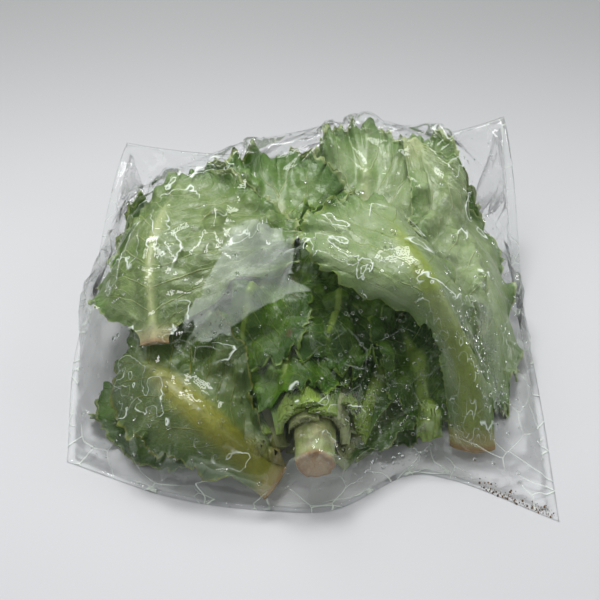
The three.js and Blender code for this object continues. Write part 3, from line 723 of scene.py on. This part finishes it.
def lay_leaf(name, form, pile):
    points = form["points"]
    need = np.maximum(pile.under(points) + GAP - points[..., 2], 0)
    points[..., 2] += ease(need, 14)
    up = normals(points)
    upper = points + up * form["thick"][..., None]
    pile.add(points)
    pile.add(upper)
    marks = {k: form[k] for k in ("along", "across", "edge", "rib", "cut")}
    marks["tone"] = np.full(points.shape[:2], form["tone"])
    points, faces, marks = two_sided(points, upper, marks)
    piece = make_piece(f"{name}_grown", points, faces, WEARS.get(name, HEART), marks)
    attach(piece, "root")
    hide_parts(name)


def lay_stem(pile):
    """The stub of the stem, cut a little unevenly, with the scars of picked leaves round it."""
    low, high = [np.array(c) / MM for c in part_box("stem")]
    radius = (high[0] - low[0]) / 2
    dapple = Dapple(5)
    turns, steps = 96, 40
    a = np.linspace(0, 2 * np.pi, turns, endpoint=False)[:, None]
    s = np.linspace(0, 1, steps)[None, :]
    middle = np.array([(low[0] + high[0]) / 2, low[1], low[2] + radius])
    rings = radius * (1 - 0.42 * smooth((s - 0.3) / 0.7))
    rings = rings + 0.8 * dapple(np.cos(a) * 3 + 9, np.sin(a) * 3 + s * 5)
    rings = rings + 0.35 * dapple(np.cos(a) * 9, s * 16)
    rings = rings - 0.9 * smooth(1 - s / 0.04)
    x = middle[0] + rings * np.cos(a)
    y = middle[1] + s * (high[1] - low[1]) * 0.96 + 0 * a
    z = middle[2] + rings * np.sin(a) + s * 6
    y = y + 0.7 * dapple(x / 4, z / 4) * (s < 0.03)
    wall = np.stack([x, y, z], 2)
    shares = np.linspace(0.92, 0.08, 8)
    centre = wall[:, :1].mean(axis=0, keepdims=True)
    dents = [0.9 * (1 - q) * 0.4 + 0.5 * math.sin(q * 21) for q in shares]
    inwards = [centre + (wall[:, :1] - centre) * q + [[[0, dent, 0]]] for q, dent in zip(shares, dents)]
    face = np.concatenate(inwards[::-1], axis=1)
    whole = np.concatenate([face, wall], axis=1)
    n = whole.shape[1]
    cut_middle = centre.reshape(1, 3) + [[0, 0.3, 0]]
    far_middle = wall[:, -1].mean(axis=0)[None] + [[0, 1.5, 0]]
    points = np.vstack([whole.reshape(-1, 3), cut_middle, far_middle])
    k = np.arange(turns * n).reshape(turns, n)
    ahead = np.roll(k, -1, axis=0)
    faces = [f for f in np.stack([k[:, :-1], k[:, 1:], ahead[:, 1:], ahead[:, :-1]], 2).reshape(-1, 4)]
    faces += [[k[i, 0], ahead[i, 0], turns * n] for i in range(turns)]
    faces += [[ahead[i, -1], k[i, -1], turns * n + 1] for i in range(turns)]
    q = np.concatenate([shares[::-1], np.ones(steps)])
    front = np.concatenate([np.ones(8), smooth(1 - (np.arange(steps) - 0.5) / 1.6)])
    marks = {"ring": np.append(np.tile(q, turns), [0, 1]), "face": np.append(np.tile(front, turns), [1, 0])}
    piece = make_piece("stem_cut", points, faces, stem_finish(), marks)
    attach(piece, "root")
    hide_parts("stem")
    pile.add(wall)


# ---------------------------------------------------------------- the bag
SEAL = 5.0  # width of the sealed rim
VENT = 4.0  # radius of a punched hole
FLOAT = 0.9  # how high the upper sheet lies where nothing is under it
LEAST = 0.25  # how high the lower sheet lies at least
# Where the film is punched, as shares of half the head's width and length.
VENTS = [(-0.57, -0.36), (0.12, 0.1), (0.76, -0.04), (-0.28, 0.56), (0.48, 0.6), (-0.76, 0.22)]
# The bag's four sides as shares of half its width and length, and how far its back corners stand up.
BAG_SIDES = {
    "front": [
        (-0.94, -0.74), (-0.5, -0.9), (-0.12, -0.955), (0.12, -0.95), (0.42, -0.8), (0.58, -0.82), (0.97, -1),
    ],
    "right": [(0.97, -1), (1, -0.4), (1, 0.3), (0.97, 0.84)],
    "back": [(-0.88, 0.9), (-0.3, 0.97), (0.3, 1), (0.97, 0.84)],
    "left": [(-0.94, -0.74), (-1, -0.2), (-0.96, 0.4), (-0.88, 0.9)],
}
STANDS = dict(right=58, left=30, back=10)
SLACK = 0.028  # how much longer the film is than the straightest way over the leaves
FRAMES = 26  # steps that the film is given to settle
MILKY = [(-28, -22, 19), (-22, -42, 18), (-50, -52, 17)]  # milky patches: x, y and size


def bag_plan(u, v):
    """Where the bag's sheets are over the table, at shares across and along it, between its sides."""
    sides = {}
    for side, points in BAG_SIDES.items():
        shares = u if side in ("front", "back") else v
        sides[side] = line_through([(*p, 0) for p in points], shares)[0][:, :2]
    front, back = sides["front"][:, None], sides["back"][:, None]
    left, right = sides["left"][None], sides["right"][None]
    U, V = u[:, None, None], v[None, :, None]
    corners = (1 - V) * ((1 - U) * front[0] + U * front[-1]) + V * ((1 - U) * back[0] + U * back[-1])
    plan = (1 - V) * front + V * back + (1 - U) * left + U * right - corners
    low, high = [np.array(c[:2]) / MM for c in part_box("bag")]
    own_low, own_high = plan.min(axis=(0, 1)), plan.max(axis=(0, 1))
    return low + (plan - own_low) * (high - low) / (own_high - own_low)


def near_mean(grid):
    wide = np.pad(grid, 1, mode="edge")
    return (wide[:-2, 1:-1] + wide[2:, 1:-1] + wide[1:-1, :-2] + wide[1:-1, 2:]) / 4


def settle(points, held, pile):
    """Lets the film drape over the leaves as loose cloth with some slack, held at its seal."""
    rows, columns = points.shape[0] - 1, points.shape[1] - 1
    film = make_piece("film_drape", points.reshape(-1, 3), grid_faces(rows, columns), PALE)
    pins = film.vertex_groups.new(name="seal")
    pins.add([int(k) for k in np.flatnonzero(held.ravel())], 1.0, "REPLACE")
    step = 2
    under = pile.top[::step, ::step]
    x = (np.arange(under.shape[0]) * step + 0.5) * CELL - pile.size[0] / 2
    y = (np.arange(under.shape[1]) * step + 0.5) * CELL - pile.size[1] / 2
    X, Y = np.meshgrid(x, y, indexing="ij")
    for _ in range(2):
        under = np.maximum(under, near_mean(under))
    ground = np.stack([X, Y, under], 2).reshape(-1, 3)
    leaves = make_piece("film_rest", ground, grid_faces(len(x) - 1, len(y) - 1), PALE)
    leaves.modifiers.new("hold", "COLLISION")
    leaves.collision.thickness_outer = 0.001
    leaves.collision.cloth_friction = 8
    leaves.collision.damping = 0.5
    cloth = film.modifiers.new("drape", "CLOTH")
    cloth.settings.quality = 6
    cloth.settings.mass = 0.1
    cloth.settings.time_scale = 0.5
    cloth.settings.air_damping = 3
    cloth.settings.tension_stiffness = cloth.settings.compression_stiffness = 30
    cloth.settings.shear_stiffness = 10
    cloth.settings.bending_stiffness = 0.35
    cloth.settings.vertex_group_mass = "seal"
    cloth.settings.shrink_min = cloth.settings.shrink_max = -SLACK
    cloth.collision_settings.distance_min = 0.001
    cloth.collision_settings.collision_quality = 2
    cloth.point_cache.frame_end = FRAMES
    for at in range(1, FRAMES + 1):
        bpy.context.scene.frame_set(at)
    settled = film.evaluated_get(bpy.context.evaluated_depsgraph_get()).data
    found = np.empty(len(settled.vertices) * 3)
    settled.vertices.foreach_get("co", found)
    bpy.context.scene.frame_set(1)
    for used in (film, leaves):
        bpy.data.objects.remove(used)
    return found.reshape(points.shape) / MM


def twice(grid):
    """A grid with a point halfway between each two, on smooth lines through them."""
    for axis in (0, 1):
        g = np.moveaxis(grid, axis, 0)
        wide = np.concatenate([2 * g[:1] - g[1:2], g, 2 * g[-1:] - g[-2:-1]])
        halfway = (9 * (wide[1:-2] + wide[2:-1]) - wide[:-3] - wide[3:]) / 16
        fine = np.empty((2 * len(g) - 1, *g.shape[1:]))
        fine[::2], fine[1::2] = g, halfway
        grid = np.moveaxis(fine, 0, axis)
    return grid


def make_bag(pile):
    nu, nv = 70, 77
    u, v = np.linspace(0, 1, nu + 1), np.linspace(0, 1, nv + 1)
    plan = bag_plan(u, v)
    U, V = np.meshgrid(u, v, indexing="ij")
    corners = STANDS["right"] * U**3 + STANDS["left"] * (1 - U) ** 3
    stand = smooth((V - 0.5) / 0.5) * (corners + STANDS["back"])
    points = np.concatenate([plan, stand[..., None] + FLOAT], axis=2)
    low, high = plan_box(["bag"])
    width, length = high[0] - low[0], high[1] - low[1]
    rim = (np.minimum(U, 1 - U) * width < SEAL) | (np.minimum(V, 1 - V) * length < SEAL)
    need = np.where(rim, points[..., 2], pile.under(points, 2) + 2.2)
    height = ease(need, 20, rim)
    for _ in range(500):
        height = np.where(rim, need, np.maximum(near_mean(height), need))
    points[..., 2] = height + np.where(rim, 0, 0.5 * Dapple(41)(points[..., 0] / 9, points[..., 1] / 9))
    points = settle(points, rim, pile)
    points, rim, stand = twice(points), twice(rim * 1.0) > 0.5, twice(stand)
    points[..., 2] = np.maximum(points[..., 2], FLOAT)
    nu, nv = 2 * nu, 2 * nv
    # Small sharp creases, mostly where the film is loose.
    clear = points[..., 2] - pile.under(points, 1)
    creases, calm = Dapple(77), Dapple(78)
    x, y = points[..., 0], points[..., 1]
    fold = np.abs(creases((x + 0.5 * y) / 16, (y - 0.3 * x) / 23))
    fold = fold + 0.5 * np.abs(creases(x / 8 + 9, y / 8))
    fold = (1 - fold * 3.2).clip(0, 1) * (0.5 + calm(x / 30, y / 30)).clip(0, 1)
    points[..., 2] += np.where(rim, 0.5 * fold, fold)
    touch = smooth(1 - (clear - 1.2) / 5)
    # How sharply the film bends: the film's material paints milky highlight lines where this is large.
    bend = sum(np.abs(near_mean(points[..., k]) - points[..., k]) for k in range(3))
    patch = sum(round_spot(points, *spot) for spot in MILKY)
    keep = np.ones(points.shape[:2], bool)
    for share_x, share_y in VENTS:
        x, y = HEAD_AT[0] + share_x * HEAD["width"] / 2, HEAD_AT[1] + share_y * HEAD["length"] / 2
        away = np.hypot(points[..., 0] - x, points[..., 1] - y)
        ring = np.abs(away - VENT) < 1.3
        for k, c in ((0, x), (1, y)):
            on_ring = c + (points[..., k] - c) * VENT / np.maximum(away, 1e-6)
            points[..., k] = np.where(ring, on_ring, points[..., k])
        keep &= ~(away < VENT - 1.2)
    bottom = points.copy()
    low = ease(np.where(rim, stand, 0), 60, rim)
    below = np.clip(np.minimum(low, pile.lowest(points) - 1), LEAST, None)
    sealed = np.maximum(points[..., 2] - 0.6, LEAST)
    bottom[..., 2] = np.where(rim, sealed, np.minimum(below, points[..., 2] - 0.5))
    count = points.shape[0] * points.shape[1]
    sheet = grid_faces(nu, nv)
    top_faces = sheet[keep.ravel()[sheet].all(axis=1)]
    rim_line = grid_rim(nu, nv)
    after = np.roll(rim_line, -1)
    everything = np.vstack([points.reshape(-1, 3), bottom.reshape(-1, 3)])
    walls = np.stack([rim_line + count, after + count, after, rim_line], 1)
    faces = np.vstack([top_faces, sheet[:, ::-1] + count, walls])
    used = np.unique(faces)
    place = np.full(2 * count, -1)
    place[used] = np.arange(len(used))
    none = np.zeros(count)
    marks = {
        "seal": np.concatenate([rim.ravel() * 1.0] * 2)[used],
        "touch": np.concatenate([touch.ravel(), none])[used],
        "bend": np.concatenate([bend.ravel(), none])[used],
        "patch": np.concatenate([patch.ravel(), none])[used],
    }
    piece = make_piece("clear_bag", everything[used], place[faces], film_finish(), marks)
    piece.data.materials.append(film_inside_finish())
    flat = [all(k >= count and everything[k][2] < 2 for k in face) for face in faces]
    piece.data.polygons.foreach_set("material_index", np.array(flat, np.int32))
    wall = piece.modifiers.new("film", "SOLIDIFY")
    wall.thickness = FILM * MM
    wall.offset = 0
    wall.material_offset = 1
    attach(piece, "root")
    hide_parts("bag")
    return points


# ---------------------------------------------------------------- drops, rings and soil on the film
def sowing_tree(name, shape):
    """A tree that sows drops, rings or crumbs over a sheet, thickest where its attribute "wet" is 1."""
    tree = bpy.data.node_groups.new(name, "GeometryNodeTree")
    face = tree.interface
    face.new_socket("Geometry", in_out="INPUT", socket_type="NodeSocketGeometry")
    for label in ("Density", "Smallest", "Largest", "Flatness"):
        face.new_socket(label, in_out="INPUT", socket_type="NodeSocketFloat")
    face.new_socket("Seed", in_out="INPUT", socket_type="NodeSocketInt")
    face.new_socket("Material", in_out="INPUT", socket_type="NodeSocketMaterial")
    face.new_socket("Geometry", in_out="OUTPUT", socket_type="NodeSocketGeometry")

    def add(kind, inputs=None, **settings):
        made = tree.nodes.new(kind)
        for key, value in settings.items():
            setattr(made, key, value)
        for key, value in (inputs or {}).items():
            if isinstance(value, bpy.types.NodeSocket):
                tree.links.new(value, made.inputs[key])
            else:
                made.inputs[key].default_value = value
        return made

    given = add("NodeGroupInput").outputs
    wet = add("GeometryNodeInputNamedAttribute", {"Name": "wet"}, data_type="FLOAT").outputs[0]
    often = add("ShaderNodeMath", {0: wet, 1: given["Density"]}, operation="MULTIPLY").outputs[0]
    sown = add(
        "GeometryNodeDistributePointsOnFaces",
        {"Mesh": given["Geometry"], "Density": often, "Seed": given["Seed"]},
        distribute_method="RANDOM",
    ).outputs
    chance = add("FunctionNodeRandomValue", {"Seed": given["Seed"]}, data_type="FLOAT").outputs[1]
    mostly_small = add("ShaderNodeMath", {0: chance, 1: 3.0}, operation="POWER").outputs[0]
    size = add(
        "ShaderNodeMapRange", {"Value": mostly_small, "To Min": given["Smallest"], "To Max": given["Largest"]}
    ).outputs[0]
    depth = add("ShaderNodeMath", {0: size, 1: given["Flatness"]}, operation="MULTIPLY").outputs[0]
    scale = add("ShaderNodeCombineXYZ", {0: size, 1: size, 2: depth}).outputs[0]
    if shape == "ring":
        loop = add("GeometryNodeCurvePrimitiveCircle", {"Resolution": 20, "Radius": 1.0}).outputs[0]
        section = add("GeometryNodeCurvePrimitiveCircle", {"Resolution": 6, "Radius": 0.13}).outputs[0]
        model = add("GeometryNodeCurveToMesh", {"Curve": loop, "Profile Curve": section}).outputs[0]
    else:
        fineness = 1 if shape == "crumb" else 2
        model = add("GeometryNodeMeshIcoSphere", {"Radius": 1.0, "Subdivisions": fineness}).outputs[0]
    turned = sown["Rotation"]
    if shape == "crumb":
        turned = add(
            "FunctionNodeRandomValue", {1: (6.3, 6.3, 6.3), "Seed": given["Seed"]}, data_type="FLOAT_VECTOR"
        ).outputs[0]
    placed = add(
        "GeometryNodeInstanceOnPoints",
        {"Points": sown["Points"], "Instance": model, "Rotation": turned, "Scale": scale},
    ).outputs[0]
    whole = add("GeometryNodeRealizeInstances", {0: placed}).outputs[0]
    soft = add("GeometryNodeSetShadeSmooth", {"Geometry": whole, "Shade Smooth": shape != "crumb"}).outputs[0]
    coated = add("GeometryNodeSetMaterial", {"Geometry": soft, "Material": given["Material"]}).outputs[0]
    add("NodeGroupOutput", {0: coated})
    return tree


def sow(name, points, wet, shape, material, density, smallest, largest, flatness, seed):
    faces = grid_faces(*(k - 1 for k in wet.shape))
    ground = make_piece(name + "_ground", points.reshape(-1, 3), faces, material, {"wet": wet})
    layer = ground.modifiers.new("sow", "NODES")
    layer.node_group = sowing_tree(name + "_sowing", shape)
    values = dict(Density=density * 1e6, Smallest=smallest * MM, Largest=largest * MM)
    values.update(Flatness=flatness, Seed=seed, Material=material)
    for socket in layer.node_group.interface.items_tree:
        if socket.in_out == "INPUT" and socket.name in values:
            layer[socket.identifier] = values[socket.name]
    ready = bpy.context.evaluated_depsgraph_get()
    mesh = bpy.data.meshes.new_from_object(ground.evaluated_get(ready))
    mesh.name = name
    bpy.data.objects.remove(ground)
    piece = bpy.data.objects.new(name, mesh)
    bpy.context.scene.collection.objects.link(piece)
    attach(piece, "root")


def round_spot(points, x, y, reach):
    return np.exp(-((points[..., 0] - x) ** 2 + (points[..., 1] - y) ** 2) / reach**2)


def wet_the_film(points):
    water = water_finish()
    wet = 0.05 + round_spot(points, 38, -95, 24) + 0.8 * round_spot(points, 98, -72, 22)
    wet += 0.35 * round_spot(points, -52, -90, 34) + 0.2 * round_spot(points, -75, -35, 30)
    wet *= points[..., 2] > 4
    wet[:4] = wet[-4:] = 0
    sow("water_drops", points, wet.clip(0, 1), "drop", water, 0.14, 0.32, 1.3, 0.6, 3)
    rings = wet.clip(0, 0.3) * (points[..., 2] > 20)
    sow("water_rings", points, rings, "ring", water, 0.006, 1.3, 3.2, 1.0, 11)
    away = np.abs(points[..., 1] + 120 + 0.48 * (points[..., 0] - 81))
    soil = np.where((points[..., 0] > 96) & (points[..., 0] < 132), smooth(1 - away / 5), 0)
    sow("soil_crumbs", points, soil, "crumb", soil_finish(), 0.9, 0.2, 0.8, 0.7, 5)


# ---------------------------------------------------------------- making it
forms = {name: leaf_form(name) for name in LEAVES}
spread(forms)
pile = Pile(0.6)
for name, form in forms.items():
    lay_leaf(name, form, pile)
    if name == STEM_AFTER:
        lay_stem(pile)
wet_the_film(make_bag(pile))


# ---------------------------------------------------------------- table, light and camera
def make_table():
    mesh = bpy.data.meshes.new("table")
    turns = np.linspace(0, 2 * math.pi, 64, endpoint=False)
    ring = [(TABLE_REACH * math.cos(a), TABLE_REACH * math.sin(a), TABLE * MM) for a in turns]
    mesh.from_pydata(ring, [], [list(range(64))])
    mesh.materials.append(table_finish())
    table = bpy.data.objects.new("table", mesh)
    bpy.context.scene.collection.objects.link(table)


def soft_light(name, place, aim, size, power):
    lamp = bpy.data.lights.new(name, "AREA")
    lamp.shape, lamp.size, lamp.size_y = "RECTANGLE", size[0], size[1]
    lamp.energy = power
    held = bpy.data.objects.new(name, lamp)
    held.location = place
    held.rotation_euler = (Vector(aim) - Vector(place)).to_track_quat("-Z", "Y").to_euler()
    bpy.context.scene.collection.objects.link(held)


CAMERA_AWAY = 0.605  # metres


def make_camera():
    lens = bpy.data.cameras.new("camera")
    lens.lens, lens.sensor_width = 60, 36
    lens.clip_start = 0.01
    held = bpy.data.objects.new("camera", lens)
    aim = Vector((-0.002, -0.012, 0.03))
    lean = math.radians(45)
    held.location = aim + CAMERA_AWAY * Vector((0, -math.cos(lean), math.sin(lean)))
    held.rotation_euler = (aim - held.location).to_track_quat("-Z", "Y").to_euler()
    bpy.context.scene.collection.objects.link(held)
    bpy.context.scene.camera = held


make_table()
soft_light("overhead_light", (-0.12, 0.4, 1.1), (0, 0, 0), (0.45, 0.35), 10.5)
soft_light("window_light", (-0.5, 1.2, 1.15), (0, 0, 0), (0.9, 0.5), 3)
soft_light("left_light", (-1.0, -0.3, 0.9), (0, 0, 0), (0.6, 0.9), 2.2)
soft_light("right_light", (1.1, 0.1, 0.7), (0, 0, 0), (0.5, 0.9), 3.5)
world = bpy.data.worlds.new("room")
world.use_nodes = True
world.node_tree.nodes["Background"].inputs["Color"].default_value = (0.86, 0.88, 0.9, 1)
world.node_tree.nodes["Background"].inputs["Strength"].default_value = 0.34
bpy.context.scene.world = world
bpy.context.scene.view_settings.view_transform = "Standard"
make_camera()
